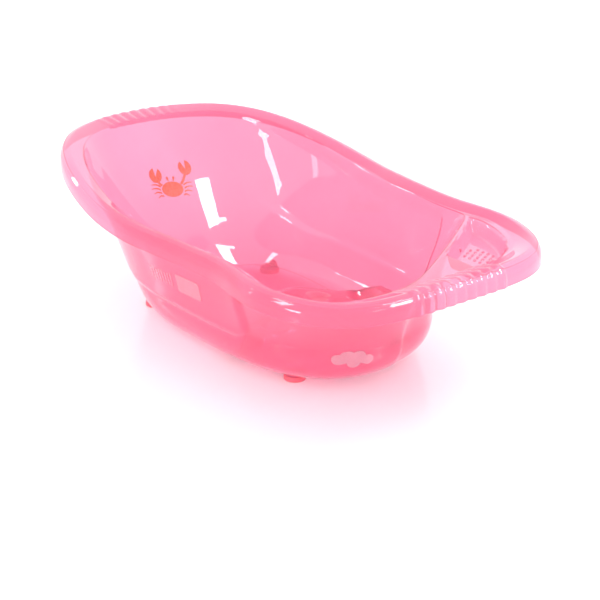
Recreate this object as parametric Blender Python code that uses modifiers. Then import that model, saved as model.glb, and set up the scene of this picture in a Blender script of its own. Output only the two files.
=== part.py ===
"""Baby bathtub: a one-piece moulded tub on four push-on feet, with a drain plug, a pull ring and films.

Frame: metres, +Z up, origin on the ground under the middle of the tub. The reclined head end is at -X, the
foot end is at +X, and the soap recess is in the corner at +X, +Y.
"""

from math import sqrt

import bmesh
import bpy
import numpy as np
from mathutils import Matrix, Vector
from mathutils.bvhtree import BVHTree

# Driving dimensions, in metres.
WALL = 0.0022
GAP = 0.0003

# Crest of the rim, the highest line of the rolled edge, seen from above.
CREST_HEAD_X = 0.4275
CREST_FOOT_X = 0.4275
CREST_HEAD_POWER = 2.55
CREST_FOOT_POWER = 4.4
CREST_HEAD_Y = 0.2505
CREST_WAIST_Y = 0.227
CREST_FOOT_Y = 0.248
HEAD_WIDE_X = -0.150
WAIST_X = 0.165
FOOT_WIDE_X = 0.310
CREST_HEAD_Z = 0.266
CREST_SIDE_Z = 0.219
CREST_FOOT_Z = 0.214
HEAD_RISE_X = (0.0, -0.400)
FOOT_FALL_X = (0.200, 0.4275)

# Rolled rim, from the basin's edge over the crest to the lip.
RIM_INNER_SIDE = 0.018
RIM_INNER_END = 0.032
RIM_HEAD_DROP = 0.006
RIM_FOOT_DROP = 0.010
RIM_DROP_X = (-0.250, 0.020)
RIM_WIDEN_POWER = 1.5
RIM_DOME_POWER = 1.2
LIP_OUT = 0.018
LIP_DROP = 0.030
LIP_POWER = 0.6

# Basin.
FLOOR_Z = 0.0110
FLOOR_HEAD_X = 0.226
FLOOR_FOOT_X = 0.232
FLOOR_WIDTHS = (0.146, 0.136, 0.126)
FLOOR_POWERS = (4.0, 2.8)
CREASE_HEAD_X = 0.262
CREASE_FOOT_X = 0.328
CREASE_WIDTHS = (0.192, 0.186, 0.176)
CREASE_POWERS = (2.7, 3.0)
CREASE_Z = 0.083
CREASE_HEAD_Z = 0.100
CREASE_RISE_X = (-0.100, -0.262)
BILGE_POWER = 2.15
WALL_POWER = 1.15
EASE_X = (-0.040, -0.200)
EASE_ROUNDS = 24

# Raised seat stop in the foot half of the floor, with round hollows: x, y, radius and depth of each.
STOP_HEIGHT = 0.055
STOP_EDGE_X = (0.000, 0.090, 0.112)
STOP_EDGE_Y = (0.008, 0.083, 0.150)
STOP_END_X = 0.150
STOP_SLOPE = 0.030
HOLLOWS = (
    (0.086, 0.023, 0.021, 0.008), (0.086, -0.023, 0.021, 0.008),
    (0.125, 0.090, 0.031, 0.014), (0.125, -0.090, 0.031, 0.014),
)

# Soap recess, cut off from the basin by a straight divider between two points of the plan.
DIVIDER = ((0.2620, 0.168), (0.3620, 0.012))
DIVIDER_SOFTNESS = 0.024
CREASE_PULL = 0.25
RECESS_DEPTH = 0.023
RECESS_WALL = 0.012
RECESS_INSET = 0.034
RECESS_NEAR_Y = 0.072
RIDGE_TOP = 0.006

# Grip ribs on the rim at both ends.
RIB_PITCH = 0.020
RIB_COUNT = 9
RIB_HEIGHT = 0.0025

# Points of the surface before it is thinned out: round the tub, and from its middle to the lip.
STATIONS = 460
FLOOR_RINGS = 30
BILGE_RINGS = 14
WALL_RINGS = 12
FLANGE_RINGS = 22
LIP_RINGS = 10
KEPT_FACES = 4200

# Feet, which push onto bosses under the floor.
FOOT_PLACES = {"head": (-0.180, 0.122), "foot": (0.196, 0.108)}
FOOT_RADIUS = 0.0175
FOOT_TOP = 0.0083
BOSS_RADIUS = 0.0150
BOSS_LOW = 0.0040
BOSS_HIGH = 0.0240

# Drain: a tapered hole through a collar under the floor, the plug that fills it, and the plug's pull ring.
DRAIN_X = -0.096
SPOUT_RADIUS = 0.0230
SPOUT_LOW = 0.0030
DRAIN_TOP_RADIUS = 0.0180
DRAIN_LOW_RADIUS = 0.0160
PLUG_HEAD_RADIUS = 0.0215
PLUG_HEAD_HEIGHT = 0.0030
PLUG_LOW = 0.0034
LUG_OFFSET = -0.0090
LUG_SIZE = (0.0062, 0.0030, 0.0056)
LUG_HOLE_RADIUS = 0.0018
RING_RADIUS = 0.0090
RING_WIRE = 0.0014

# Films on the walls: thickness, gap behind, and how far off the rays that place them start. Then each one's
# middle, direction into the wall, (width, height, corner radius) and faces across and up.
FILM = 0.0004
FILM_GAP = 0.0006
FILM_REACH = 0.1
FILMS = {
    "crab_film": ((-0.318, -0.006, 0.153), (-0.8, 0.0, -0.6), (0.100, 0.080, 0.020), (8, 8)),
    "cloud_film": ((0.290, -0.084, 0.077), (-1.0, 0.15, 0.25), (0.072, 0.026, 0.012), (8, 4)),
    "side_film": ((0.012, -0.195, 0.129), (0.0, 1.0, 0.2), (0.140, 0.040, 0.006), (12, 4)),
}

MATERIALS = {
    "pink_shell": ((1.0, 0.36, 0.55, 0.55), 0.08),
    "foot_pink": ((0.95, 0.20, 0.38, 1.0), 0.35),
    "plug_rubber": ((0.95, 0.30, 0.33, 1.0), 0.45),
    "ring_plastic": ((0.95, 0.93, 0.93, 1.0), 0.25),
    "clear_film": ((1.0, 0.75, 0.83, 0.6), 0.20),
}


def steps(count):
    return np.arange(1, count + 1) / count


def smoothstep(t):
    t = np.clip(t, 0.0, 1.0)
    return t * t * (3 - 2 * t)


def between(x, ends, values):
    """Moves smoothly from values[0] at ends[0] to values[1] at ends[1]."""
    return values[0] + (values[1] - values[0]) * smoothstep((x - ends[0]) / (ends[1] - ends[0]))


def half_width(x, head, waist, foot):
    """Half the width of an outline at x: widest at the head, then narrower at the waist than at the foot."""
    to_waist = between(x, (HEAD_WIDE_X, WAIST_X), (head, waist))
    return to_waist + between(x, (WAIST_X, FOOT_WIDE_X), (0.0, foot - waist))


def outline(angle, head_x, foot_x, widths, head_power, foot_power):
    """A rounded outline whose two ends have their own squareness. Angle 0 is the middle of the foot end."""
    c, s = np.cos(angle), np.sin(angle)
    power = np.where(c < 0, head_power, foot_power)
    reach = np.where(c < 0, head_x, foot_x)
    x = np.sign(c) * np.abs(c) ** (2 / power) * reach
    y = np.sign(s) * np.abs(s) ** (2 / power) * half_width(x, *widths)
    return np.stack([x, y], -1)


def crest_plan(angle):
    widths = (CREST_HEAD_Y, CREST_WAIST_Y, CREST_FOOT_Y)
    return outline(angle, CREST_HEAD_X, CREST_FOOT_X, widths, CREST_HEAD_POWER, CREST_FOOT_POWER)


def crest_height(x):
    head = between(x, HEAD_RISE_X, (0.0, CREST_HEAD_Z - CREST_SIDE_Z))
    return CREST_SIDE_Z + head + between(x, FOOT_FALL_X, (0.0, CREST_FOOT_Z - CREST_SIDE_Z))


def outward(plan):
    """Unit normals of a closed plan outline, pointing out."""
    along = np.roll(plan, -1, 0) - np.roll(plan, 1, 0)
    normal = np.stack([along[:, 1], -along[:, 0]], -1)
    return normal / np.linalg.norm(normal, axis=1, keepdims=True)


def beyond_divider(plan):
    """The vector from each point's place on the divider to the point, near zero on the basin's side."""
    (x0, y0), (x1, y1) = DIVIDER
    normal = np.array([y0 - y1, x1 - x0]) / np.hypot(x1 - x0, y1 - y0)
    away = (plan - np.array(DIVIDER[0])) @ normal
    soft = 0.5 * (away + np.sqrt(away ** 2 + DIVIDER_SOFTNESS ** 2))
    return np.clip(soft - 0.05 * DIVIDER_SOFTNESS, 0, None)[:, None] * normal


def stop_height(x, y):
    """How far the seat stop lifts the floor at a point."""
    side = np.interp(x, STOP_EDGE_X, STOP_EDGE_Y)
    rise = smoothstep((x - STOP_EDGE_X[0]) / STOP_SLOPE)
    rise = rise * smoothstep((STOP_END_X + STOP_SLOPE - x) / STOP_SLOPE)
    rise = rise * smoothstep((side - np.abs(y)) / STOP_SLOPE + 0.5)
    lift = STOP_HEIGHT * rise
    for centre_x, centre_y, radius, depth in HOLLOWS:
        away = np.hypot(x - centre_x, y - centre_y)
        lift = lift - depth * rise * smoothstep((radius - away) / (0.6 * radius))
    return lift


def stations(count):
    """Angles of the points round the tub, at even steps along the crest."""
    dense = np.linspace(-np.pi, np.pi, 20001)
    plan = crest_plan(dense)
    length = np.concatenate([[0], np.cumsum(np.linalg.norm(np.diff(plan, axis=0), axis=1))])
    return np.interp(np.arange(count) * length[-1] / count, length, dense)


def rib_wave(arc):
    """1 on a rib and 0 between ribs; arc is the distance from the middle of an end, along the crest."""
    inside = np.abs(arc) < RIB_PITCH * RIB_COUNT / 2
    return np.where(inside, 0.5 + 0.5 * np.cos(2 * np.pi * arc / RIB_PITCH), 0.0)


def end_arc(plan):
    """Distance along the crest from the middle of the nearer end, with the sign of y."""
    step = np.linalg.norm(np.roll(plan, -1, 0) - plan, axis=1)
    length = np.concatenate([[0], np.cumsum(step)[:-1]])
    total = step.sum()
    foot = np.argmin(np.abs(plan[:, 1]) + np.where(plan[:, 0] < 0, 1.0, 0.0))
    head = np.argmin(np.abs(plan[:, 1]) + np.where(plan[:, 0] > 0, 1.0, 0.0))
    from_foot = (length - length[foot] + total / 2) % total - total / 2
    from_head = (length - length[head] + total / 2) % total - total / 2
    return np.where(plan[:, 0] > 0, from_foot, from_head)


def ease_head(wall):
    """Rounds the wall's profile off at the head end, where it runs down to the floor without a crease."""
    eased = wall.copy()
    for _ in range(EASE_ROUNDS):
        eased[1:-1] = 0.5 * (eased[:-2] + eased[2:])
    return wall + (eased - wall) * smoothstep((EASE_X[0] - wall[..., :1]) / (EASE_X[0] - EASE_X[1]))


def shell_rings():
    """Rings of points from the floor's middle out to the lip, each an array of (x, y, z) rows."""
    angle = stations(STATIONS)
    crest = crest_plan(angle)
    normal = outward(crest)
    top = crest_height(crest[:, 0])

    inner = RIM_INNER_SIDE + (RIM_INNER_END - RIM_INNER_SIDE) * np.abs(normal[:, :1]) ** RIM_WIDEN_POWER
    drop = between(crest[:, 0], RIM_DROP_X, (RIM_HEAD_DROP, RIM_FOOT_DROP))
    edge = crest - inner * normal
    pull = beyond_divider(edge)
    edge = edge - pull
    edge_z = top - drop
    crease = outline(angle, CREASE_HEAD_X, CREASE_FOOT_X, CREASE_WIDTHS, *CREASE_POWERS)
    crease = crease - CREASE_PULL * pull
    crease_z = between(crease[:, 0], CREASE_RISE_X, (CREASE_Z, CREASE_HEAD_Z))
    floor = outline(angle, FLOOR_HEAD_X, FLOOR_FOOT_X, FLOOR_WIDTHS, *FLOOR_POWERS)

    rings = []
    for part in steps(FLOOR_RINGS):
        plan = floor * part
        rings.append((plan, FLOOR_Z + stop_height(plan[:, 0], plan[:, 1])))
    wall = []
    for part in steps(BILGE_RINGS):
        out = np.sin(0.5 * np.pi * part)
        up = 1 - (1 - out ** BILGE_POWER) ** (1 / BILGE_POWER)
        plan = floor + (crease - floor) * out
        rise = np.maximum((crease_z - FLOOR_Z) * up, stop_height(plan[:, 0], plan[:, 1]))
        wall.append(np.column_stack([plan, FLOOR_Z + rise]))
    for part in steps(WALL_RINGS):
        plan = crease + (edge - crease) * part ** WALL_POWER
        wall.append(np.column_stack([plan, crease_z + (edge_z - crease_z) * part]))
    rings += [(ring[:, :2], ring[:, 2]) for ring in ease_head(np.array(wall))]
    across = np.linalg.norm(crest - edge, axis=1)
    for part in steps(FLANGE_RINGS):
        from_crest = across * (1 - part)
        plan = edge + (crest - edge) * part
        sunk = smoothstep((across * part - RIDGE_TOP) / RECESS_WALL)
        sunk = sunk * smoothstep((from_crest - RECESS_INSET) / RECESS_WALL)
        sunk = sunk * smoothstep((plan[:, 1] - RECESS_NEAR_Y) / RECESS_WALL)
        dome = drop * np.clip(from_crest / inner[:, 0], 0, 1) ** RIM_DOME_POWER
        rings.append((plan, top - dome - RECESS_DEPTH * sunk))
    rib = rib_wave(end_arc(crest))
    for part in steps(LIP_RINGS):
        turn = 0.5 * np.pi * part
        plan = crest + normal * (LIP_OUT * np.sin(turn) + RIB_HEIGHT * rib * min(1.0, 2 * part))[:, None]
        rings.append((plan, top - LIP_DROP * (1 - np.cos(turn) ** LIP_POWER)))
    return [np.column_stack([plan, z]) for plan, z in rings]


def new_object(name, mesh, collection, slot=None):
    made = bpy.data.objects.new(name, mesh)
    collection.objects.link(made)
    if slot:
        mesh.materials.append(material(slot))
    return made


def material(slot):
    found = bpy.data.materials.get(slot)
    if found:
        return found
    colour, roughness = MATERIALS[slot]
    made = bpy.data.materials.new(slot)
    made.use_nodes = True
    shader = made.node_tree.nodes["Principled BSDF"]
    shader.inputs["Base Color"].default_value = (*colour[:3], 1.0)
    shader.inputs["Alpha"].default_value = colour[3]
    shader.inputs["Roughness"].default_value = roughness
    return made


def loft(rings):
    """A surface through closed rings, with a fan inside the first one. Its normals face up and in."""
    count = len(rings[0])
    middle = rings[0].mean(axis=0)
    points = [tuple(middle)] + [tuple(p) for ring in rings for p in ring]
    faces = []
    for i in range(count):
        after = (i + 1) % count
        faces.append((0, 1 + i, 1 + after))
        for k in range(len(rings) - 1):
            low, high = 1 + k * count, 1 + (k + 1) * count
            faces.append((low + i, high + i, high + after, low + after))
    mesh = bpy.data.meshes.new("loft")
    mesh.from_pydata(points, [], faces)
    mesh.validate()
    return mesh


def bake(owner):
    """Replaces an object's mesh with its evaluated one, and drops its modifiers."""
    graph = bpy.context.evaluated_depsgraph_get()
    mesh = bpy.data.meshes.new_from_object(owner.evaluated_get(graph))
    owner.modifiers.clear()
    owner.data = mesh
    return owner


def smooth(owner, degrees=35):
    owner.data.shade_smooth()
    owner.data.set_sharp_from_angle(angle=np.radians(degrees))


def add_cylinder(name, collection, low_radius, high_radius, low, high, x, y, sides=32):
    """A closed cylinder or cone standing between two heights."""
    made = bmesh.new()
    place = Matrix.Translation((x, y, (low + high) / 2))
    bmesh.ops.create_cone(made, cap_ends=True, segments=sides, radius1=low_radius, radius2=high_radius,
                          depth=high - low, matrix=place)
    mesh = bpy.data.meshes.new(name)
    made.to_mesh(mesh)
    made.free()
    return new_object(name, mesh, collection)


def guide(owner):
    owner.hide_render = True
    owner.display_type = "WIRE"
    return owner


def boolean(owner, operation, other):
    cut = owner.modifiers.new(operation.lower(), "BOOLEAN")
    cut.operation = operation
    cut.solver = "EXACT"
    cut.object = other
    return cut


def fill_basin(owner):
    """Closes the lowest part of the basin's surface into a solid, half a wall's thickness down."""
    bm = bmesh.new()
    bm.from_mesh(owner.data)
    cut = bmesh.ops.bisect_plane(bm, geom=bm.verts[:] + bm.edges[:] + bm.faces[:], clear_outer=True,
                                 plane_co=(0, 0, BOSS_HIGH + WALL), plane_no=(0, 0, 1))
    rim = [e for e in cut["geom_cut"] if isinstance(e, bmesh.types.BMEdge)]
    bmesh.ops.holes_fill(bm, edges=rim)
    bmesh.ops.translate(bm, verts=bm.verts, vec=(0, 0, -WALL / 2))
    bmesh.ops.recalc_face_normals(bm, faces=bm.faces)
    bm.to_mesh(owner.data)
    bm.free()
    guide(owner)


def build_shell(parts, cutters):
    """The tub: a thin loft, with bosses for the feet and a collar for the drain joined on below."""
    rings = shell_rings()
    shell = new_object("tub_shell", loft(rings), parts, "pink_shell")
    thin = shell.modifiers.new("fewer_faces", "DECIMATE")
    thin.ratio = KEPT_FACES / (2 * STATIONS * len(rings))
    bake(shell)
    inside = new_object("basin_space", shell.data.copy(), cutters)
    solid = shell.modifiers.new("wall", "SOLIDIFY")
    solid.thickness = WALL
    solid.offset = -1
    fill_basin(inside)

    for name, x, y in feet():
        boss = add_cylinder(f"{name}_boss", cutters, BOSS_RADIUS, BOSS_RADIUS, BOSS_LOW, BOSS_HIGH, x, y, 24)
        boolean(boss, "DIFFERENCE", inside)
        boolean(shell, "UNION", guide(bake(boss)))
    spout_top = FLOOR_Z - WALL / 2
    spout = add_cylinder("spout", cutters, SPOUT_RADIUS, SPOUT_RADIUS, SPOUT_LOW, spout_top, DRAIN_X, 0)
    boolean(shell, "UNION", guide(spout))
    taper = (DRAIN_TOP_RADIUS - DRAIN_LOW_RADIUS) / (FLOOR_Z - SPOUT_LOW)
    over = 0.002
    low, high = SPOUT_LOW - over, FLOOR_Z + over
    radii = DRAIN_LOW_RADIUS - taper * over, DRAIN_TOP_RADIUS + taper * over
    hole = add_cylinder("drain_hole", cutters, *radii, low, high, DRAIN_X, 0)
    boolean(shell, "DIFFERENCE", guide(hole))
    bake(shell)
    smooth(shell)
    return shell


def feet():
    """Name and place of each foot."""
    for end, (x, y) in FOOT_PLACES.items():
        yield f"{end}_left_foot", x, y
        yield f"{end}_right_foot", x, -y


def turned(name, profile, x, y, parts, slot, sides=24):
    """A turned piece: its profile's (radius, height) points, from the top down its outer side."""
    mesh = bpy.data.meshes.new(name)
    edges = [(i, i + 1) for i in range(len(profile) - 1)]
    mesh.from_pydata([(radius, 0, height) for radius, height in profile], edges, [])
    made = new_object(name, mesh, parts, slot)
    made.location = (x, y, 0)
    screw = made.modifiers.new("turn", "SCREW")
    screw.steps = screw.render_steps = sides
    screw.use_merge_vertices = True
    screw.merge_threshold = 0.00005
    bpy.context.view_layer.update()
    place = made.matrix_world.copy()
    bake(made)
    made.matrix_world = place
    smooth(made)
    return made


def build_feet(parts):
    """Four soft caps, each pushed over a boss."""
    edge = 0.0012
    socket = BOSS_RADIUS + GAP
    profile = [
        (0, BOSS_LOW - GAP), (socket, BOSS_LOW - GAP), (socket, FOOT_TOP), (FOOT_RADIUS - edge, FOOT_TOP),
        (FOOT_RADIUS, FOOT_TOP - edge), (FOOT_RADIUS, edge), (FOOT_RADIUS - edge, 0), (0, 0),
    ]
    for name, x, y in feet():
        turned(name, profile, x, y, parts, "foot_pink")


def build_plug(parts, cutters):
    """A tapered stopper whose head overlaps the floor, with a lug for its ring."""
    head_low = FLOOR_Z + GAP
    head_top = head_low + PLUG_HEAD_HEIGHT
    edge = 0.0008
    profile = [
        (0, head_top), (PLUG_HEAD_RADIUS - 2 * edge, head_top), (PLUG_HEAD_RADIUS, head_top - 2 * edge),
        (PLUG_HEAD_RADIUS, head_low), (DRAIN_TOP_RADIUS - GAP, head_low),
        (DRAIN_LOW_RADIUS - GAP, PLUG_LOW + edge), (DRAIN_LOW_RADIUS - GAP - edge, PLUG_LOW), (0, PLUG_LOW),
    ]
    plug = turned("drain_plug", profile, DRAIN_X, 0, parts, "plug_rubber", 32)

    bm = bmesh.new()
    place = Matrix.Translation((DRAIN_X + LUG_OFFSET, 0, head_top + LUG_SIZE[2] / 2 - edge))
    bmesh.ops.create_cube(bm, size=1.0, matrix=place @ Matrix.Diagonal((*LUG_SIZE, 1.0)))
    mesh = bpy.data.meshes.new("lug")
    bm.to_mesh(mesh)
    bm.free()
    lug = guide(new_object("lug", mesh, cutters))
    boolean(plug, "UNION", lug)
    reach = LUG_SIZE[1]
    pin = add_cylinder("lug_hole", cutters, LUG_HOLE_RADIUS, LUG_HOLE_RADIUS, -reach, reach, 0, 0, 16)
    ring_z = head_top + GAP + RING_WIRE
    upright = Matrix.Rotation(np.pi / 2, 4, "X")
    pin.matrix_world = Matrix.Translation((DRAIN_X + LUG_OFFSET, 0, ring_z)) @ upright
    boolean(plug, "DIFFERENCE", guide(pin))
    place = plug.matrix_world.copy()
    bake(plug)
    plug.matrix_world = place
    smooth(plug)

    bpy.ops.mesh.primitive_torus_add(major_radius=RING_RADIUS, minor_radius=RING_WIRE,
                                     major_segments=28, minor_segments=8)
    ring = bpy.context.object
    ring.name = "plug_ring"
    for owner in ring.users_collection:
        owner.objects.unlink(ring)
    parts.objects.link(ring)
    ring.data.transform(Matrix.Translation((RING_RADIUS, 0, 0)))
    ring.location = (DRAIN_X + LUG_OFFSET, 0, ring_z)
    ring.data.materials.append(material("ring_plastic"))
    smooth(ring)


def film(name, shell_tree, parts):
    """A thin skin with round corners, laid on the shell where rays along its direction meet it."""
    centre, direction, (width, height, corner), (columns, rows) = FILMS[name]
    towards = Vector(direction).normalized()
    across = towards.cross(Vector((0, 0, 1))).normalized()
    up = across.cross(towards)
    points = []
    for j in range(rows + 1):
        v = (j / rows - 0.5) * height
        inset = max(0.0, abs(v) - (height / 2 - corner))
        half = width / 2 - (corner - sqrt(max(0.0, corner ** 2 - inset ** 2)))
        for i in range(columns + 1):
            u = (2 * i / columns - 1) * half
            start = Vector(centre) + u * across + v * up - FILM_REACH * towards
            hit, normal, _, _ = shell_tree.ray_cast(start, towards)
            points.append(hit + (FILM_GAP + FILM) * (normal if normal.dot(towards) < 0 else -normal))
    faces = []
    for j in range(rows):
        for i in range(columns):
            k = j * (columns + 1) + i
            faces.append((k, k + 1, k + columns + 2, k + columns + 1))
    mesh = bpy.data.meshes.new(name)
    mesh.from_pydata([tuple(p) for p in points], [], faces)
    made = new_object(name, mesh, parts, "clear_film")
    solid = made.modifiers.new("film", "SOLIDIFY")
    solid.thickness = FILM
    solid.offset = -1
    smooth(made)


def build_films(shell, parts):
    faces = [p.vertices for p in shell.data.polygons]
    tree = BVHTree.FromPolygons([v.co for v in shell.data.vertices], faces)
    for name in FILMS:
        film(name, tree, parts)


def clear_scene():
    for owner in list(bpy.data.objects):
        bpy.data.objects.remove(owner, do_unlink=True)


def main():
    clear_scene()
    parts = bpy.data.collections.new("baby_bathtub")
    cutters = bpy.data.collections.new("cutters")
    bpy.context.scene.collection.children.link(parts)
    bpy.context.scene.collection.children.link(cutters)
    shell = build_shell(parts, cutters)
    build_feet(parts)
    build_plug(parts, cutters)
    build_films(shell, parts)


main()
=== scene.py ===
"""The looks of a translucent pink baby bathtub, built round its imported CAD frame.

The tub is one closed, thin-walled mesh: a drain collar, the floor with its seat stop, the walls with their
side panels, the soap recess and the rolled, ribbed rim. Bosses, drops in the recess, prints, feet, plug and
ring are pieces of their own.
"""

import bmesh
import bpy
import numpy as np
from mathutils import Matrix, Vector
from mathutils.bvhtree import BVHTree


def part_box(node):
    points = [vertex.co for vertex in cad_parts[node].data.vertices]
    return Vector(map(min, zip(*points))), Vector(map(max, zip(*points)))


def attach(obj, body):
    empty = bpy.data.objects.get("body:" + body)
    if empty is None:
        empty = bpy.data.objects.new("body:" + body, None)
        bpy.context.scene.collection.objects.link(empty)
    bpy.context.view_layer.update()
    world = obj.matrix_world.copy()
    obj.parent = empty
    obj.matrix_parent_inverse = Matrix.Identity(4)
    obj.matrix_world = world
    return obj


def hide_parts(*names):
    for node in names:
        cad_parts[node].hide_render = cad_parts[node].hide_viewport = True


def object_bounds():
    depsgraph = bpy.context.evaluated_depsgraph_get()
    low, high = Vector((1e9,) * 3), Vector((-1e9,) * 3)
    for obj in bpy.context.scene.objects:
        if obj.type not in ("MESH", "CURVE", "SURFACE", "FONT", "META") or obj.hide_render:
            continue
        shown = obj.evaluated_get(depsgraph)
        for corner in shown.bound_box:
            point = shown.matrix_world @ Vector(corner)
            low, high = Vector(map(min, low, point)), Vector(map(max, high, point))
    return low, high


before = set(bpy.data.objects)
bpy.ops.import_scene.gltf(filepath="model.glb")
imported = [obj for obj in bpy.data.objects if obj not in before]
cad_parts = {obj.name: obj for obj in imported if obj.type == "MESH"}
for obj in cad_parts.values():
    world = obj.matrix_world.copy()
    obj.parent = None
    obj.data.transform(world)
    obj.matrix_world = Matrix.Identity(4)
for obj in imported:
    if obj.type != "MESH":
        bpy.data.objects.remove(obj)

CAD_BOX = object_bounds()
SHELL_LOW, SHELL_HIGH = (np.array(corner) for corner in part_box("tub_shell"))
PLUG_LOW, PLUG_HIGH = (np.array(corner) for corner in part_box("drain_plug"))
RING_LOW, RING_HIGH = (np.array(corner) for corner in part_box("plug_ring"))
FEET = ("head_left_foot", "head_right_foot", "foot_left_foot", "foot_right_foot")

WALL = 0.0022

# Rolled rim: how far it reaches out and in from its crest, how it drops, and a bead along the lip: the
# bead's place and width in shares of the lip, and its height.
LIP_OUT = 0.018
LIP_DROP = 0.030
LIP_POWER = 0.6
LIP_BEAD = (0.40, 0.045, 0.0007)
RIM_INNER_SIDE, RIM_INNER_END = 0.018, 0.032
RIM_HEAD_DROP = 0.006
RIM_FOOT_DROP = 0.010
RIM_DROP_X = (-0.250, 0.020)
RIM_WIDEN_POWER = 1.5
RIM_DOME_POWER = 1.2

# Crest of the rim, the highest line of the rolled edge. The CAD's ribs stand out from the lip at both ends.
CAD_RIB_HEIGHT = 0.0025
CREST_X = SHELL_HIGH[0] - LIP_OUT - CAD_RIB_HEIGHT
CREST_WIDTHS = (0.2505, 0.227, 0.248)
CREST_POWERS = (2.55, 4.4)
HEAD_WIDE_X, WAIST_X, FOOT_WIDE_X = -0.150, 0.165, 0.310
CREST_HEAD_Z = SHELL_HIGH[2]
CREST_SIDE_Z = 0.219
CREST_FOOT_Z = 0.214
HEAD_RISE_X = (0.0, -0.400)
FOOT_FALL_X = (0.200, 0.4275)

# Drain: the hole's radius at its two ends, and the radius and depth of its eased edge.
DRAIN_RADII = (0.0160, 0.0180)
DRAIN_EDGE = (0.0186, 0.0008)

# Floor, the curve up from it, and the level where the walls begin. The floor's edge has a fine line: its
# depth and width.
FLOOR_Z = 0.011
FLOOR_X = (0.226, 0.232)
FLOOR_WIDTHS = (0.146, 0.136, 0.126)
FLOOR_POWERS = (4.0, 2.8)
CREASE_X = (0.262, 0.328)
CREASE_WIDTHS = (0.192, 0.186, 0.176)
CREASE_POWERS = (2.7, 3.0)
CREASE_Z = 0.083
CREASE_HEAD_Z = 0.100
CREASE_RISE_X = (-0.100, -0.262)
BILGE_POWER = 2.15
WALL_POWER = 1.15
EASE_X = (-0.040, -0.200)
EASE_ROUNDS = 110
FLOOR_LINE = (0.0010, 0.0030)

# Side panels that stand out from the walls above a ledge.
PANEL_DEPTH = 0.0060
PANEL_LEDGE = 0.0090
PANEL_END_X = 0.178
PANEL_CORNER = 0.034
PANEL_LOW_Z = 0.078
PANEL_HEAD_X = (-0.120, -0.300)
PANEL_HEAD_Z = 0.135
PANEL_RIM_FADE = 0.030
PANEL_FACING = (0.55, 0.80)

# Seat stop on the floor, with its round hollows: x, y, radius and depth of each.
STOP_HEIGHT = 0.055
STOP_EDGE_X = (0.000, 0.090, 0.112)
STOP_EDGE_Y = (0.008, 0.083, 0.150)
STOP_END_X = 0.150
STOP_SLOPE = 0.030
HOLLOWS = (
    (0.086, 0.023, 0.021, 0.008), (0.086, -0.023, 0.021, 0.008),
    (0.125, 0.090, 0.031, 0.014), (0.125, -0.090, 0.031, 0.014),
)

# Soap recess behind a straight divider, with its grid of drops.
DIVIDER = ((0.2620, 0.168), (0.3620, 0.012))
DIVIDER_SOFTNESS = 0.024
CREASE_PULL = 0.25
RECESS_DEPTH = 0.023
RECESS_WALL = 0.012
RECESS_INSET = 0.034
RECESS_NEAR_Y = 0.072
RIDGE_TOP = 0.006
GRID_CENTRE = (0.329, 0.148)
GRID_PITCH = 0.011
GRID_SIZE = (6, 4)
GRID_DROP = (0.0042, 0.0024, 0.0016)

# Ribs of the grips. Those at the head end are lower, and fade out sideways.
RIB_PITCH = 0.020
RIB_COUNT = 9
RIB_SPAN = RIB_PITCH * RIB_COUNT / 2
RIB_HEIGHT = 0.0028
RIB_POWER = 0.7
RIB_END = 0.004
RIB_REACH = 0.035
RIB_INNER_FADE = 0.008
HEAD_RIB_SHARE = 0.6
HEAD_RIB_FADE = 1.3

# Points of the tub's surface: round it, and from the drain out to the lip. Those round it are closer together
# at the grips and near the soap recess: each has the distance where that starts, and the width of the change.
STATIONS = 760
STATION_EXTRA = 1.8
NEAR_GRIP = (0.120, 0.015)
NEAR_RECESS = (0.170, 0.060)
COLLAR_RINGS = 5
FLOOR_RINGS = 56
BILGE_RINGS = 26
WALL_RINGS = 30
FLANGE_RINGS = 40
LIP_RINGS = 30


# ---------------------------------------------------------------- shape of the tub


def steps(count):
    return np.arange(1, count + 1) / count


def smoothstep(t):
    t = np.clip(t, 0.0, 1.0)
    return t * t * (3 - 2 * t)


def between(x, ends, values):
    """Moves smoothly from values[0] at ends[0] to values[1] at ends[1]."""
    return values[0] + (values[1] - values[0]) * smoothstep((x - ends[0]) / (ends[1] - ends[0]))


def half_width(x, head, waist, foot):
    """Half the width of an outline at x: widest at the head, then narrower at the waist than at the foot."""
    to_waist = between(x, (HEAD_WIDE_X, WAIST_X), (head, waist))
    return to_waist + between(x, (WAIST_X, FOOT_WIDE_X), (0.0, foot - waist))


def outline(angle, ends, widths, powers):
    """A rounded outline whose two ends have their own squareness. Angle 0 is the middle of the foot end."""
    c, s = np.cos(angle), np.sin(angle)
    power = np.where(c < 0, powers[0], powers[1])
    reach = np.where(c < 0, ends[0], ends[1])
    x = np.sign(c) * np.abs(c) ** (2 / power) * reach
    y = np.sign(s) * np.abs(s) ** (2 / power) * half_width(x, *widths)
    return np.stack([x, y], -1)


def crest_plan(angle):
    return outline(angle, (CREST_X, CREST_X), CREST_WIDTHS, CREST_POWERS)


def crest_height(x):
    head = between(x, HEAD_RISE_X, (0.0, CREST_HEAD_Z - CREST_SIDE_Z))
    return CREST_SIDE_Z + head + between(x, FOOT_FALL_X, (0.0, CREST_FOOT_Z - CREST_SIDE_Z))


def outward(plan):
    """Unit normals of a closed plan outline, pointing out."""
    along = np.roll(plan, -1, 0) - np.roll(plan, 1, 0)
    normal = np.stack([along[:, 1], -along[:, 0]], -1)
    return normal / np.linalg.norm(normal, axis=1, keepdims=True)


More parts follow.
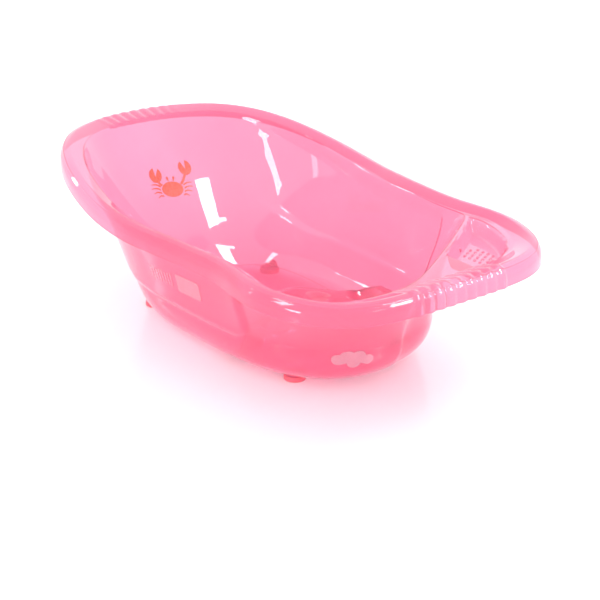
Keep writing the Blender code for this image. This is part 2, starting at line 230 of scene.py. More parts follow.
def stations(count):
    """Angles of the points round the tub, closer together beside the soap recess and at the grips."""
    dense = np.linspace(-np.pi, np.pi, 40001)
    plan = crest_plan(dense)
    step = np.linalg.norm(np.diff(plan, axis=0), axis=1)
    middle = 0.5 * (plan[1:] + plan[:-1])
    near = np.hypot(middle[:, 0] - GRID_CENTRE[0], middle[:, 1] - GRID_CENTRE[1])
    grip = smoothstep((NEAR_GRIP[0] - np.abs(middle[:, 1])) / NEAR_GRIP[1]) * (np.abs(middle[:, 0]) > WAIST_X)
    weight = 1 + STATION_EXTRA * np.maximum(grip, smoothstep((NEAR_RECESS[0] - near) / NEAR_RECESS[1]))
    length = np.concatenate([[0], np.cumsum(step * weight)])
    return np.interp(np.arange(count) * length[-1] / count, length, dense)


def end_arc(plan):
    """Distance along the crest from the middle of the nearer end."""
    step = np.linalg.norm(np.roll(plan, -1, 0) - plan, axis=1)
    length = np.concatenate([[0], np.cumsum(step)[:-1]])
    total = step.sum()
    away = np.full(len(plan), np.inf)
    for side in (1, -1):
        middle = np.argmin(np.abs(plan[:, 1]) + np.where(side * plan[:, 0] < 0, 1.0, 0.0))
        offset = (length - length[middle] + total / 2) % total - total / 2
        away = np.where(np.abs(offset) < np.abs(away), offset, away)
    return away


def ribs(plan):
    """1 on top of a rib, 0 in the groove between two."""
    arc = end_arc(plan)
    inside = smoothstep((RIB_SPAN - np.abs(arc)) / RIB_END)
    wave = 0.5 + 0.5 * np.cos(2 * np.pi * arc / RIB_PITCH)
    head = HEAD_RIB_SHARE * smoothstep(HEAD_RIB_FADE - np.abs(arc) / RIB_SPAN)
    return np.where(plan[:, 0] < 0, head, 1.0) * inside * wave ** RIB_POWER


def beyond_divider(plan):
    """The vector from each point's place on the divider to the point, near zero on the basin's side."""
    (x0, y0), (x1, y1) = DIVIDER
    normal = np.array([y0 - y1, x1 - x0]) / np.hypot(x1 - x0, y1 - y0)
    away = (plan - np.array(DIVIDER[0])) @ normal
    soft = 0.5 * (away + np.sqrt(away ** 2 + DIVIDER_SOFTNESS ** 2))
    return np.clip(soft - 0.05 * DIVIDER_SOFTNESS, 0, None)[:, None] * normal


def stop_height(x, y):
    """How far the seat stop lifts the floor at a point."""
    side = np.interp(x, STOP_EDGE_X, STOP_EDGE_Y)
    rise = smoothstep((x - STOP_EDGE_X[0]) / STOP_SLOPE)
    rise = rise * smoothstep((STOP_END_X + STOP_SLOPE - x) / STOP_SLOPE)
    rise = rise * smoothstep((side - np.abs(y)) / STOP_SLOPE + 0.5)
    lift = STOP_HEIGHT * rise
    for centre_x, centre_y, radius, depth in HOLLOWS:
        away = np.hypot(x - centre_x, y - centre_y)
        lift = lift - depth * rise * smoothstep((radius - away) / (0.6 * radius))
    return lift


def panel(x, z):
    """1 on a side panel, 0 below its ledge and past its rounded end."""
    ledge = between(x, PANEL_HEAD_X, (PANEL_LOW_Z, PANEL_HEAD_Z))
    to_end = PANEL_END_X - x
    up = z - ledge
    past_end, past_ledge = np.clip(PANEL_CORNER - to_end, 0, None), np.clip(PANEL_CORNER - up, 0, None)
    corner = PANEL_CORNER - np.hypot(past_end, past_ledge)
    depth = np.where((to_end < PANEL_CORNER) & (up < PANEL_CORNER), corner, np.minimum(to_end, up))
    return smoothstep(depth / PANEL_LEDGE + 0.5)


def ease_head(wall):
    """Rounds the wall's profile off at the head end, where it runs down to the floor without a crease."""
    eased = wall.copy()
    for _ in range(EASE_ROUNDS):
        eased[1:-1] = 0.5 * (eased[:-2] + eased[2:])
    return wall + (eased - wall) * smoothstep((EASE_X[0] - wall[..., :1]) / (EASE_X[0] - EASE_X[1]))


def tub_grid():
    """The tub's upper surface as rings from the drain's lower edge to the lip: (rings, stations, 3)."""
    angle = stations(STATIONS)
    crest = crest_plan(angle)
    normal = outward(crest)
    top = crest_height(crest[:, 0])
    inner = RIM_INNER_SIDE + (RIM_INNER_END - RIM_INNER_SIDE) * np.abs(normal[:, :1]) ** RIM_WIDEN_POWER
    drop = between(crest[:, 0], RIM_DROP_X, (RIM_HEAD_DROP, RIM_FOOT_DROP))
    edge = crest - inner * normal
    pull = beyond_divider(edge)
    edge = edge - pull
    edge_z = top - drop
    crease = outline(angle, CREASE_X, CREASE_WIDTHS, CREASE_POWERS) - CREASE_PULL * pull
    crease_z = between(crease[:, 0], CREASE_RISE_X, (CREASE_Z, CREASE_HEAD_Z))
    floor = outline(angle, FLOOR_X, FLOOR_WIDTHS, FLOOR_POWERS)

    drain = 0.5 * (PLUG_LOW + PLUG_HIGH)[:2]
    ray = floor - drain
    ray = ray / np.linalg.norm(ray, axis=1, keepdims=True)
    collar_low = SHELL_LOW[2]
    rings = []
    for part in steps(COLLAR_RINGS):
        radius = DRAIN_RADII[0] + (DRAIN_RADII[1] - DRAIN_RADII[0]) * part
        rings.append((drain + ray * radius, collar_low + (FLOOR_Z - DRAIN_EDGE[1] - collar_low) * part))
    mouth = drain + ray * DRAIN_EDGE[0]
    for part in np.concatenate([[0], steps(FLOOR_RINGS)]):
        plan = mouth + (floor - mouth) * part
        line = FLOOR_LINE[0] * smoothstep(1 - np.linalg.norm(floor - plan, axis=1) / FLOOR_LINE[1])
        rings.append((plan, FLOOR_Z + stop_height(plan[:, 0], plan[:, 1]) - line))
    wall = []
    for part in steps(BILGE_RINGS):
        out = np.sin(0.5 * np.pi * part)
        up = 1 - (1 - out ** BILGE_POWER) ** (1 / BILGE_POWER)
        plan = floor + (crease - floor) * out
        rise = np.maximum((crease_z - FLOOR_Z) * up, stop_height(plan[:, 0], plan[:, 1]))
        wall.append(np.column_stack([plan, FLOOR_Z + rise]))
    for part in steps(WALL_RINGS):
        plan = crease + (edge - crease) * part ** WALL_POWER
        wall.append(np.column_stack([plan, crease_z + (edge_z - crease_z) * part]))
    rings += [(ring[:, :2], ring[:, 2]) for ring in ease_head(np.array(wall))]
    across = np.linalg.norm(crest - edge, axis=1)
    for part in steps(FLANGE_RINGS):
        from_crest = across * (1 - part)
        plan = edge + (crest - edge) * part
        sunk = smoothstep((across * part - RIDGE_TOP) / RECESS_WALL)
        sunk = sunk * smoothstep((from_crest - RECESS_INSET) / RECESS_WALL)
        sunk = sunk * smoothstep((plan[:, 1] - RECESS_NEAR_Y) / RECESS_WALL)
        dome = drop * np.clip(from_crest / inner[:, 0], 0, 1) ** RIM_DOME_POWER
        rings.append((plan, top - dome - RECESS_DEPTH * sunk))
    for part in steps(LIP_RINGS):
        turn = 0.5 * np.pi * part
        bead = LIP_BEAD[2] * np.exp(-(((part - LIP_BEAD[0]) / LIP_BEAD[1]) ** 2))
        out = LIP_OUT * np.sin(turn) + bead
        rings.append((crest + normal * out, top - LIP_DROP * (1 - np.cos(turn) ** LIP_POWER) + bead))
    grid = np.stack([np.column_stack([plan, np.broadcast_to(z, len(plan))]) for plan, z in rings])
    return add_relief(grid, crest)


def add_relief(grid, crest):
    """Moves the surface along its normals: out for the side panels, up for the ribs of the grips."""
    along = np.roll(grid, -1, 1) - np.roll(grid, 1, 1)
    across = np.gradient(grid, axis=0)
    normal = np.cross(across, along)
    normal /= np.linalg.norm(normal, axis=2, keepdims=True)
    first_bilge = COLLAR_RINGS + FLOOR_RINGS + 1
    first_flange = first_bilge + BILGE_RINGS + WALL_RINGS
    wall = np.arange(first_bilge, first_flange)
    x, z = grid[wall][..., 0], grid[wall][..., 2]
    to_rim = smoothstep((grid[first_flange - 1, :, 2] - z) / PANEL_RIM_FADE)
    sideways = between(np.abs(normal[wall][..., 1]), PANEL_FACING, (0.0, 1.0))
    amount = np.zeros(grid.shape[:2])
    amount[wall] = -PANEL_DEPTH * panel(x, z) * to_rim * sideways
    rim = np.arange(first_flange, len(grid))
    inside = np.linalg.norm(grid[rim][..., :2] - crest[None], axis=2)
    inside[FLANGE_RINGS:] = 0
    amount[rim] += RIB_HEIGHT * ribs(crest)[None] * smoothstep((RIB_REACH - inside) / RIB_INNER_FADE)
    return grid + amount[..., None] * normal


def grid_mesh(name, grid):
    """A mesh of quads over rings of points, closed round each ring."""
    rows, count = grid.shape[:2]
    index = np.arange(rows * count).reshape(rows, count)
    low, high = index[:-1], index[1:]
    faces = np.stack([low, high, np.roll(high, -1, 1), np.roll(low, -1, 1)], -1).reshape(-1, 4)
    mesh = bpy.data.meshes.new(name)
    mesh.from_pydata(grid.reshape(-1, 3).tolist(), [], faces.tolist())
    mesh.validate()
    return mesh


# ---------------------------------------------------------------- helpers


def new_piece(name, mesh, body, replaced, look):
    """A piece in the given material that rides on a body and stands for a CAD node."""
    piece = bpy.data.objects.new(name, mesh)
    bpy.context.scene.collection.objects.link(piece)
    mesh.materials.clear()
    mesh.materials.append(look)
    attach(piece, body)
    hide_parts(replaced)
    return piece


def smooth(owner, degrees=40):
    owner.data.shade_smooth()
    owner.data.set_sharp_from_angle(angle=np.radians(degrees))


def baked(owner):
    """Replaces an object's mesh with its evaluated one, and drops its modifiers."""
    graph = bpy.context.evaluated_depsgraph_get()
    mesh = bpy.data.meshes.new_from_object(owner.evaluated_get(graph))
    owner.modifiers.clear()
    owner.data = mesh
    return owner


def finished(made, name):
    """The mesh of a bmesh, which is freed."""
    mesh = bpy.data.meshes.new(name)
    made.to_mesh(mesh)
    made.free()
    return mesh


def bridge(made, first, second, i, j):
    """A face between points i and j of two rings, either of which may be a single point."""
    corners = [first[i % len(first)], second[i % len(second)], second[j % len(second)], first[j % len(first)]]
    made.faces.new(list(dict.fromkeys(corners)))


def turned_mesh(name, profile, sides=72):
    """A closed turned mesh from (radius, height) points that run from the axis back to the axis."""
    angle = np.linspace(0, 2 * np.pi, sides, endpoint=False)
    made = bmesh.new()
    rings = []
    for radius, height in profile:
        if radius == 0:
            rings.append([made.verts.new((0, 0, height))])
        else:
            rings.append([made.verts.new((radius * np.cos(a), radius * np.sin(a), height)) for a in angle])
    for upper, lower in zip(rings, rings[1:]):
        for i in range(sides):
            j = (i + 1) % sides
            bridge(made, upper, lower, i, j)
    bmesh.ops.recalc_face_normals(made, faces=made.faces)
    return finished(made, name)


def rounded(profile, radius, count=5):
    """The profile with each inner corner replaced by a small arc."""
    points = [np.array(p, float) for p in profile]
    out = [tuple(points[0])]
    for before, here, after in zip(points, points[1:], points[2:]):
        a, b = before - here, after - here
        reach = min(radius, 0.45 * np.linalg.norm(a), 0.45 * np.linalg.norm(b))
        start = here + a / np.linalg.norm(a) * reach
        end = here + b / np.linalg.norm(b) * reach
        for t in np.linspace(0, 1, count):
            out.append(tuple((1 - t) ** 2 * start + 2 * t * (1 - t) * here + t ** 2 * end))
    return out + [tuple(points[-1])]


# ---------------------------------------------------------------- materials


class Look:
    """A Principled material and a few node helpers for its detail."""

    def __init__(self, name, **values):
        self.material = bpy.data.materials.new(name)
        self.material.use_nodes = True
        self.tree = self.material.node_tree
        self.shader = self.tree.nodes["Principled BSDF"]
        for label, value in values.items():
            self.shader.inputs[label.replace("_", " ")].default_value = value

    def node(self, kind, **values):
        made = self.tree.nodes.new(kind)
        for label, value in values.items():
            made.inputs[label.replace("_", " ")].default_value = value
        return made

    def link(self, source, target):
        self.tree.links.new(source, target)

    def noise(self, scale, detail=3.0):
        """A noise over the object's own coordinates, in features per metre."""
        place = self.node("ShaderNodeTexCoord")
        made = self.node("ShaderNodeTexNoise", Scale=scale, Detail=detail)
        self.link(place.outputs["Object"], made.inputs["Vector"])
        return made.outputs["Fac"]

    def ranged(self, factor, low, high, at=(0.3, 0.7)):
        """factor moved from the range at to the range from low to high."""
        made = self.node("ShaderNodeMapRange")
        for slot, value in zip((1, 2, 3, 4), (*at, low, high)):
            made.inputs[slot].default_value = value
        self.link(factor, made.inputs[0])
        return made.outputs[0]

    def vary_roughness(self, scale, low, high):
        self.link(self.ranged(self.noise(scale), low, high), self.shader.inputs["Roughness"])

    def vary_colour(self, scale, first, second):
        mix = self.tree.nodes.new("ShaderNodeMix")
        mix.data_type = "RGBA"
        mix.inputs["A"].default_value = (*first, 1.0)
        mix.inputs["B"].default_value = (*second, 1.0)
        self.link(self.ranged(self.noise(scale), 0.0, 1.0), mix.inputs["Factor"])
        self.link(mix.outputs["Result"], self.shader.inputs["Base Color"])

    def bump(self, scale, distance, strength=1.0, detail=3.0):
        made = self.node("ShaderNodeBump", Distance=distance, Strength=strength)
        self.link(self.noise(scale, detail), made.inputs["Height"])
        self.link(made.outputs["Normal"], self.shader.inputs["Normal"])


def shell_look(name, clear, colour, deep):
    """Pink plastic: its clear share tints what is seen through it, with a faint moulded waviness and haze."""
    look = Look(name, Transmission_Weight=clear, IOR=1.22, Coat_Weight=0.5, Coat_Roughness=0.03)
    look.vary_colour(6.0, colour, deep)
    look.vary_roughness(22.0, 0.035, 0.075)
    look.bump(9.0, 0.0015, 0.10, detail=1.0)
    return look.material


def rubber_look(name, colour, deep):
    look = Look(name, IOR=1.5, Subsurface_Weight=0.15, Subsurface_Scale=0.004)
    look.vary_colour(180.0, colour, deep)
    look.vary_roughness(300.0, 0.34, 0.52)
    look.bump(2600.0, 0.0002, 0.35)
    return look.material


def ring_look():
    look = Look("ring_plastic", IOR=1.46, Coat_Weight=0.3, Coat_Roughness=0.06)
    look.vary_colour(90.0, (0.90, 0.86, 0.86), (0.80, 0.74, 0.75))
    look.vary_roughness(160.0, 0.14, 0.28)
    look.bump(900.0, 0.0001, 0.25)
    return look.material


def ink_look():
    """Printed orange ink under a clear skin, with the grain of screen printing."""
    look = Look("orange_ink", IOR=1.45, Coat_Weight=0.6, Coat_Roughness=0.05)
    look.vary_colour(420.0, (1.0, 0.085, 0.045), (0.88, 0.055, 0.035))
    look.vary_roughness(500.0, 0.22, 0.36)
    look.bump(1500.0, 0.00008, 0.3)
    return look.material


def film_look(name, colour, deep, clear):
    """Pale printed film: part clear, part white ink."""
    look = Look(name, IOR=1.40, Transmission_Weight=clear, Coat_Weight=0.4, Coat_Roughness=0.05)
    look.vary_colour(120.0, colour, deep)
    look.vary_roughness(300.0, 0.12, 0.24)
    look.bump(1200.0, 0.00006, 0.3)
    return look.material


PINK = shell_look("pink_shell", 0.72, (1.0, 0.345, 0.515), (1.0, 0.315, 0.490))
PINK_THICK = shell_look("pink_boss", 0.20, (1.0, 0.290, 0.440), (1.0, 0.260, 0.410))
PLUG_RUBBER = rubber_look("plug_rubber", (0.90, 0.125, 0.140), (0.82, 0.095, 0.115))
FOOT_RUBBER = rubber_look("foot_rubber", (1.0, 0.190, 0.260), (0.96, 0.155, 0.225))
RING_PLASTIC = ring_look()
INK = ink_look()
CLOUD_FILM = film_look("cloud_film_print", (1.0, 0.56, 0.68), (1.0, 0.50, 0.63), 0.55)
SIDE_FILM = film_look("side_film_print", (1.0, 0.50, 0.64), (1.0, 0.46, 0.60), 0.60)


# ---------------------------------------------------------------- the tub


def make_tub():
    tub = new_piece("tub", grid_mesh("tub", tub_grid()), "tub", "tub_shell", PINK)
    wall = tub.modifiers.new("wall", "SOLIDIFY")
    wall.thickness = WALL
    wall.offset = -1
    wall.use_rim = True
    baked(tub)
    smooth(tub, 50)
    return tub


def surface_tree(owner):
    faces = [p.vertices for p in owner.data.polygons]
    return BVHTree.FromPolygons([v.co for v in owner.data.vertices], faces)


BOSS_SIDES = 48
BOSS_RADIUS = 0.0150
BOSS_LOW = 0.0040
BOSS_EDGE = 0.0010
BOSS_GAP = 0.00008
# Rings of a boss, from the middle of its end to the middle of its top: share of the radius, and whether it
# is on top.
BOSS_RINGS = ((0.0, False), (0.93, False), (1.0, False), (1.0, True), (0.66, True), (0.33, True), (0.0, True))


def make_bosses(tree):
    """The feet's bosses: round stubs whose tops follow the tub's underside."""
    made = bmesh.new()
    for name in FEET:
        centre_x, centre_y, _ = np.array(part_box(name)).mean(axis=0)
        rings = []
        for share, top in BOSS_RINGS:
            radius = share * BOSS_RADIUS
            ring = []
            for a in np.linspace(0, 2 * np.pi, BOSS_SIDES, endpoint=False) if share else [0.0]:
                spot = Vector((centre_x + radius * np.cos(a), centre_y + radius * np.sin(a), BOSS_LOW))
                if top:
                    spot.z = tree.ray_cast(spot, Vector((0, 0, 1)))[0].z - BOSS_GAP
                elif share == 1.0:
                    spot.z += BOSS_EDGE
                ring.append(made.verts.new(spot))
            rings.append(ring)
        for lower, upper in zip(rings, rings[1:]):
            for i in range(BOSS_SIDES):
                bridge(made, lower, upper, i, (i + 1) % BOSS_SIDES)
    bmesh.ops.recalc_face_normals(made, faces=made.faces)
    smooth(new_piece("foot_bosses", finished(made, "foot_bosses"), "tub", "tub_shell", PINK_THICK))


def make_drops(tree):
    """Rows of raised drops on the floor of the soap recess, which keep a bar of soap off it."""
    made = bmesh.new()
    rows, columns = GRID_SIZE
    for row in range(rows):
        for column in range(columns):
            x = GRID_CENTRE[0] + (row - (rows - 1) / 2 + 0.5 * (column % 2)) * GRID_PITCH
            y = GRID_CENTRE[1] + (column - (columns - 1) / 2) * GRID_PITCH
            hit, normal, _, _ = tree.ray_cast(Vector((x, y, CAD_BOX[1][2] + WALL)), Vector((0, 0, -1)))
            place = Matrix.Translation(hit) @ normal.to_track_quat("Z", "X").to_matrix().to_4x4()
            drop = place @ Matrix.Diagonal((*GRID_DROP, 1.0))
            bmesh.ops.create_uvsphere(made, u_segments=20, v_segments=10, radius=1.0, matrix=drop)
    smooth(new_piece("soap_drops", finished(made, "soap_drops"), "tub", "tub_shell", PINK_THICK))


# Feet: radius of the socket and height of its ceiling, then the sole's outline across its two grooves, each
# point with its share of the radius and of the groove's depth.
SOCKET_RADIUS = 0.0153
SOCKET_TOP = 0.0037
GROOVE = 0.0009
SOLE = ((0.42, 0), (0.44, 1), (0.52, 1), (0.54, 0), (0.68, 0), (0.70, 1), (0.78, 1), (0.80, 0))


def make_feet():
    """Soft caps with rounded edges and two grip grooves in the sole."""
    for name in FEET:
        low, high = (np.array(corner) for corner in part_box(name))
        radius = (high[0] - low[0]) / 2
        centre = (low + high) / 2
        profile = [
            (0, SOCKET_TOP), (SOCKET_RADIUS, SOCKET_TOP), (SOCKET_RADIUS, high[2]),
            (radius - 0.0006, high[2]), (radius, high[2] * 0.55), (radius, 0),
        ]
        profile += [(share * radius, GROOVE * deep) for share, deep in reversed(SOLE)] + [(0, 0)]
        mesh = turned_mesh(name, rounded(profile, 0.0011))
        mesh.transform(Matrix.Translation((centre[0], centre[1], 0)))
        smooth(new_piece(f"{name}_cap", mesh, "tub", name, FOOT_RUBBER), 50)


# The lug's hole, which the ring passes through, and the ring's wire. The hole's axis is the ring's hinge.
RING_WIRE = 0.0014
RING_MIDDLE = (RING_HIGH[1] - RING_LOW[1]) / 2 - RING_WIRE
HINGE_X, HINGE_Z = RING_LOW[0] + RING_WIRE, 0.5 * (RING_LOW[2] + RING_HIGH[2])
HINGE = Matrix.Translation((HINGE_X, 0, HINGE_Z)) @ Matrix.Rotation(np.pi / 2, 4, "X")
LUG_RADIUS, LUG_HALF, LUG_HOLE = 0.0031, 0.0015, 0.0018


def make_plug():
    """The stopper: a domed head with a finger groove and a tapered body with a sealing bead."""
    centre = 0.5 * (PLUG_LOW + PLUG_HIGH)
    head, low = (PLUG_HIGH[0] - PLUG_LOW[0]) / 2, PLUG_LOW[2]
    under, top = FLOOR_Z + 0.0003, FLOOR_Z + 0.0033
    groove, hollow = top - 0.0007, low + 0.0018
    profile = [
        (0, top), (0.62 * head, top), (0.66 * head, groove), (0.74 * head, groove), (0.78 * head, top),
        (0.92 * head, top - 0.0002), (head, under + 0.0008), (head, under), (0.0176, under),
        (0.0165, 0.0072), (0.0168, 0.0064), (0.0156, 0.0046), (0.0148, low),
        (0.0100, low), (0.0094, hollow), (0, hollow),
    ]
    mesh = turned_mesh("plug", rounded(profile, 0.0005))
    mesh.transform(Matrix.Translation((centre[0], centre[1], 0)))
    smooth(new_piece("plug", mesh, "plug", "drain_plug", PLUG_RUBBER), 50)


def disc(name, radius, half, edge=0.0, sides=72):
    """A disc on the ring's hinge, between half and -half along it."""
    profile = [(0, half), (radius, half), (radius, -half), (0, -half)]
    mesh = turned_mesh(name, rounded(profile, edge) if edge else profile, sides)
    mesh.transform(HINGE)
    return mesh


def make_lug():
    """The plug's lug, with a hole for the ring."""
    mesh = disc("plug_lug", LUG_RADIUS, LUG_HALF, edge=0.0006)
    lug = new_piece("plug_lug", mesh, "plug", "drain_plug", PLUG_RUBBER)
    hole = bpy.data.objects.new("lug_hole", disc("lug_hole", LUG_HOLE, 0.004, sides=24))
    bpy.context.scene.collection.objects.link(hole)
    cut = lug.modifiers.new("hole", "BOOLEAN")
    cut.solver = "EXACT"
    cut.object = hole
    baked(lug)
    bpy.data.objects.remove(hole)
    smooth(lug, 50)


def make_ring():
    """The pull ring: a round wire with a thicker grip on the side away from its hinge."""
    bpy.ops.mesh.primitive_torus_add(
        major_radius=RING_MIDDLE, minor_radius=RING_WIRE, major_segments=96, minor_segments=20)
    ring = bpy.context.object
    ring.name = "pull_ring"
    for vertex in ring.data.vertices:
        x, y, _ = vertex.co
        around = np.hypot(x, y)
        grip = 1 + 0.22 * np.exp(-((np.arctan2(y, x) / 0.35) ** 2))
        stretch = (RING_MIDDLE + (around - RING_MIDDLE) * grip) / around
        vertex.co.x, vertex.co.y = x * stretch, y * stretch
    ring.data.transform(Matrix.Translation((HINGE_X + RING_MIDDLE, 0, HINGE_Z)))
    ring.data.materials.append(RING_PLASTIC)
    smooth(ring, 60)
    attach(ring, "ring")
    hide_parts("plug_ring")


# ---------------------------------------------------------------- prints


# The signs' shapes are in millimetres, from the middle of their film.
CRAB_TURN = -8.0
CRAB_SHIFT = (7.0, 3.0)
PRINT_EDGE = 0.005
PRINT_LIFT = 0.00025
PRINT_SKIN = 0.00015
PRINT_REACH = 0.12


def turned_flat(flat, degrees):
    c, s = np.cos(np.radians(degrees)), np.sin(np.radians(degrees))
    return flat @ np.array([[c, s], [-s, c]])


def ellipse(centre, radii, turn=0.0, span=(0.0, 360.0), points=40):
    """Points of an ellipse or part of one, turned about its centre."""
    angles = np.radians(np.linspace(*span, points, endpoint=span[1] - span[0] < 360))
    flat = np.stack([radii[0] * np.cos(angles), radii[1] * np.sin(angles)], -1)
    return turned_flat(flat, turn) + np.array(centre)


def stroke(start, end, widths, bow=0.0, points=9):
    """A tapered bar with a round end, bowed sideways by bow."""
    start, end = np.array(start, float), np.array(end, float)
    along = (end - start) / np.linalg.norm(end - start)
    side = np.array([-along[1], along[0]])
    t = np.linspace(0, 1, points)[:, None]
    spine = start + (end - start) * t + 4 * bow * t * (1 - t) * side
    half = (widths[0] + (widths[1] - widths[0]) * t) / 2
    turn = np.degrees(np.arctan2(*along[::-1])) - 90
    tip = ellipse(end, (widths[1] / 2, widths[1] / 2), turn, (0, 180), 7)[1:-1]
    return np.concatenate([spine - side * half, tip, (spine + side * half)[::-1]])


def claw(centre, radius, turn):
    """A round pincer with a wedge cut out of it; turn is where the wedge opens, in degrees."""
    arc = ellipse(centre, (radius, 1.15 * radius), turn - 90, (90 + 22, 90 + 338), 36)
    corner = np.array(centre) + turned_flat(np.array([-0.25 * radius, 0.0]), turn)
    return np.concatenate([arc, [corner]])


def crab_shapes():
    """A plain crab sign: shell, stalks, two arms with pincers and four legs a side, none touching another."""
    shapes = [ellipse((0, -14), (21.5, 14.5), points=56)]
    for side, out, up in ((1, 3, 10), (-1, -3, -1)):
        flip = np.array([side, 1])
        shapes.append(flip * stroke((5, 1.5), (6.5, 8), (1.8, 4.4)))
        shapes.append(flip * stroke((19, -5.5), (27.5 + out, 1 + up), (4.8, 4.6), -1.0))
        shapes.append(flip * claw((31 + out, 15 + up), 12.5, 100))
        for height, end, drop in ((-8, 40, -4), (-14, 41, -12), (-20, 38, -20.5), (-26, 31, -28.5)):
            start = 24.3 - 0.028 * (height + 14) ** 2
            shapes.append(flip * stroke((start, height), (end, drop), (3.4, 1.6), 2.2))
    return [turned_flat(shape, CRAB_TURN) + np.array(CRAB_SHIFT) for shape in shapes]


def cloud_shapes():
    """A cloud sign: the outer edge of five overlapping discs."""
    discs = [(-22, -2, 9), (-9, 4, 11), (7, 5, 10.5), (21, -1, 9), (0, -5, 10)]
    angles = np.radians(np.linspace(0, 360, 120, endpoint=False))
    edge = []
    for a in angles:
        ray = np.array([1.35 * np.cos(a), np.sin(a)])
        ray /= np.linalg.norm(ray)
        reach = 0.0
        for x, y, radius in discs:
            along = ray @ np.array([x, y])
            inside = radius ** 2 - (x ** 2 + y ** 2 - along ** 2)
            if inside > 0:
                reach = max(reach, along + np.sqrt(inside))
        edge.append(ray * reach)
    return [np.array(edge)]


def side_shapes():
    """A round-cornered panel with a row of plain upright bars beside it."""
    corners = [((64, 12), 0), ((12, 12), 90), ((12, -12), 180), ((64, -12), 270)]
    shapes = [np.concatenate([ellipse(at, (4, 4), 0, (start, start + 90), 7) for at, start in corners])]
    for bar in range(8):
        x = -6 - 7.5 * bar
        low, high = -12 + 3 * (bar % 2), 12 - 2 * (bar % 3)
        ends = ellipse((x, high), (1.6, 1.6), 0, (0, 180), 7), ellipse((x, low), (1.6, 1.6), 0, (180, 360), 7)
        shapes.append(np.concatenate(ends))
    return shapes


def make_print(name, shapes, film, direction, up, look, tree):
    """Flat shapes laid on the tub where rays along direction meet it, as thin closed skins."""
    centre = Vector(np.array(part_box(film)).mean(axis=0))
    towards = Vector(direction).normalized()
    across = towards.cross(Vector(up)).normalized()
    upward = across.cross(towards)
    made = bmesh.new()
    for shape in shapes:
        ring = [made.verts.new((x / 1000, y / 1000, 0)) for x, y in shape]
        edges = [made.edges.new((a, b)) for a, b in zip(ring, ring[1:] + ring[:1])]
        bmesh.ops.triangle_fill(made, use_beauty=True, edges=edges)
    for _ in range(5):
        long_edges = [e for e in made.edges if e.calc_length() > PRINT_EDGE]
        if long_edges:
            bmesh.ops.subdivide_edges(made, edges=long_edges, cuts=1)
            bmesh.ops.triangulate(made, faces=made.faces)
    for vertex in made.verts:
        start = centre + vertex.co.x * across + vertex.co.y * upward - PRINT_REACH * towards
        hit, normal, _, _ = tree.ray_cast(start, towards)
        normal = normal if normal.dot(towards) < 0 else -normal
        vertex.co = hit + (PRINT_LIFT + PRINT_SKIN) * normal
    bmesh.ops.recalc_face_normals(made, faces=made.faces)
    mesh = finished(made, name)
    if sum(p.normal.dot(towards) * p.area for p in mesh.polygons) > 0:
        mesh.flip_normals()
    piece = new_piece(name, mesh, "tub", film, look)
    skin = piece.modifiers.new("skin", "SOLIDIFY")
    skin.thickness = PRINT_SKIN
    skin.offset = -1
    baked(piece)
    smooth(piece)


# ---------------------------------------------------------------- stage, lights, camera

# Lamps seen as highlights: name, place, the point that each faces, width and length, direction of the length,
# and brightness.
STRIPS = (
    ("head_strip", (0.947, 0.41, 0.985), (-0.28, 0.06, 0.10), (0.34, 0.74), (0.57, 0.0, -0.82), 24.0),
    ("wall_strip", (0.05, -1.20, 0.95), (-0.265, 0.176, 0.19), (0.22, 0.60), (0.2, 0.3, 0.75), 14.0),
    ("side_strip", (-0.78, -1.25, 0.60), (-0.15, 0.20, 0.16), (0.07, 0.40), (0.0, 0.0, 1.0), 5.0),
    ("floor_strip", (0.34, -1.32, 0.30), (-0.195, 0.145, 0.055), (0.14, 0.30), (1.0, 0.0, 0.0), 18.0),
    ("lip_strip", (0.60, -1.80, 0.12), (0.374, -0.227, 0.199), (0.04, 0.24), (1.0, 0.0, 0.0), 20.0),
    ("foot_strip", (1.75, 0.15, 1.00), (0.434, -0.138, 0.206), (0.08, 0.34), (0.0, 1.0, 0.0), 20.0),
    ("tray_strip", (-1.12, -0.57, 0.60), (0.279, 0.204, 0.190), (0.10, 0.40), (0.0, 0.0, 1.0), 14.0),
)


def make_floor():
    white = (1.0, 1.0, 1.0, 1.0)
    pale = (0.93, 0.93, 0.93, 1.0)
    look = Look("white_floor", Base_Color=pale, Emission_Color=white, Emission_Strength=0.10)
    look.vary_roughness(3.0, 0.16, 0.22)
    bpy.ops.mesh.primitive_plane_add(size=14)
    floor = bpy.context.object
    floor.name = "floor"
    floor.data.materials.append(look.material)


def lamp_panel(name, place, target, size, long_axis, glow):
    """A rectangular lamp; glow is its brightness beside a world of strength 1."""
    data = bpy.data.lights.new(name, "AREA")
    data.shape = "RECTANGLE"
    data.size, data.size_y = size
    data.energy = glow * np.pi * size[0] * size[1]
    lamp = bpy.data.objects.new(name, data)
    bpy.context.scene.collection.objects.link(lamp)
    back = (Vector(place) - Vector(target)).normalized()
    side = Vector(long_axis).cross(back).normalized()
    facing = Matrix((side, back.cross(side), back)).transposed()
    lamp.matrix_world = Matrix.Translation(place) @ facing.to_4x4()
    return lamp


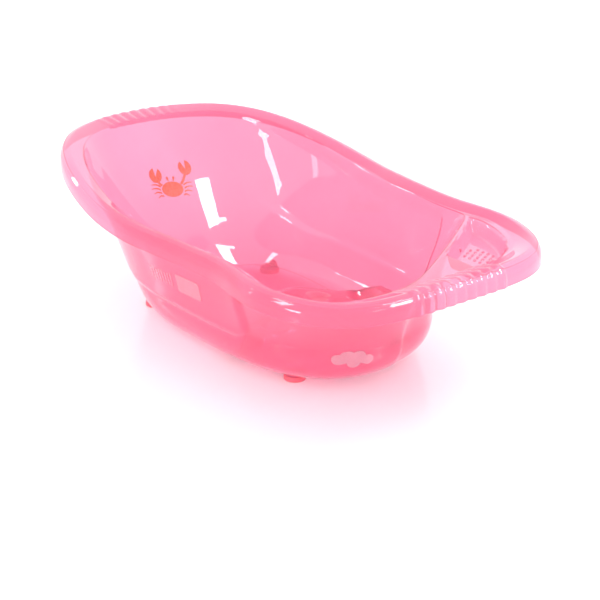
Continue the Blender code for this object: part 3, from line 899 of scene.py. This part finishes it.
def make_lights():
    world = bpy.data.worlds.new("studio")
    bpy.context.scene.world = world
    world.use_nodes = True
    background = world.node_tree.nodes["Background"]
    background.inputs["Color"].default_value = (1.0, 1.0, 1.0, 1.0)
    background.inputs["Strength"].default_value = 1.0
    for name, place, target, size, long_axis, glow in STRIPS:
        lamp = lamp_panel(name, place, target, size, long_axis, glow)
        lamp.visible_diffuse = False
        lamp.visible_transmission = False
    key = lamp_panel("key", (0.5, 1.5, 1.8), (0.0, 0.0, 0.0), (1.0, 1.0), (1.0, 0.0, 0.0), 2.5)
    key.visible_glossy = False


# The camera's azimuth and elevation in degrees, its distance and its lens in millimetres. It looks at a point
# near the tub's middle, shifted to the right and up in the view.
CAMERA_ANGLES = (52.405, 23.128)
CAMERA_DISTANCE = 2.5223
CAMERA_LENS = 89.96
CAMERA_CENTRE = (0.0035, 0.0, 0.0)
CAMERA_SHIFT = (0.0399, 0.0348)


def make_camera():
    """Three-quarter view over the foot end, from the side away from the soap recess."""
    azimuth, elevation = np.radians(CAMERA_ANGLES)
    right = Vector((np.cos(azimuth), np.sin(azimuth), 0))
    level = np.cos(elevation)
    back = Vector((np.sin(azimuth) * level, -np.cos(azimuth) * level, np.sin(elevation)))
    up = back.cross(right)
    data = bpy.data.cameras.new("camera")
    data.sensor_width = 36
    data.lens = CAMERA_LENS
    camera = bpy.data.objects.new("camera", data)
    bpy.context.scene.collection.objects.link(camera)
    place = Vector(CAMERA_CENTRE) + CAMERA_SHIFT[0] * right + CAMERA_SHIFT[1] * up + CAMERA_DISTANCE * back
    camera.matrix_world = Matrix.Translation(place) @ Matrix((right, up, back)).transposed().to_4x4()
    bpy.context.scene.camera = camera


def main():
    make_camera()
    make_lights()
    make_floor()
    tub = make_tub()
    tree = surface_tree(tub)
    make_bosses(tree)
    make_drops(tree)
    make_feet()
    make_plug()
    make_lug()
    make_ring()
    upright = (0.0, 0.0, 1.0)
    make_print("crab_print", crab_shapes(), "crab_film", (-0.8, 0.0, -0.6), (-0.6, 0.0, 0.8), INK, tree)
    make_print("cloud_print", cloud_shapes(), "cloud_film", (-1.0, 0.15, 0.25), upright, CLOUD_FILM, tree)
    make_print("side_print", side_shapes(), "side_film", (0.0, 1.0, 0.2), upright, SIDE_FILM, tree)
    bpy.context.scene.view_settings.view_transform = "Standard"
    bpy.context.scene.view_settings.exposure = 0.4


main()
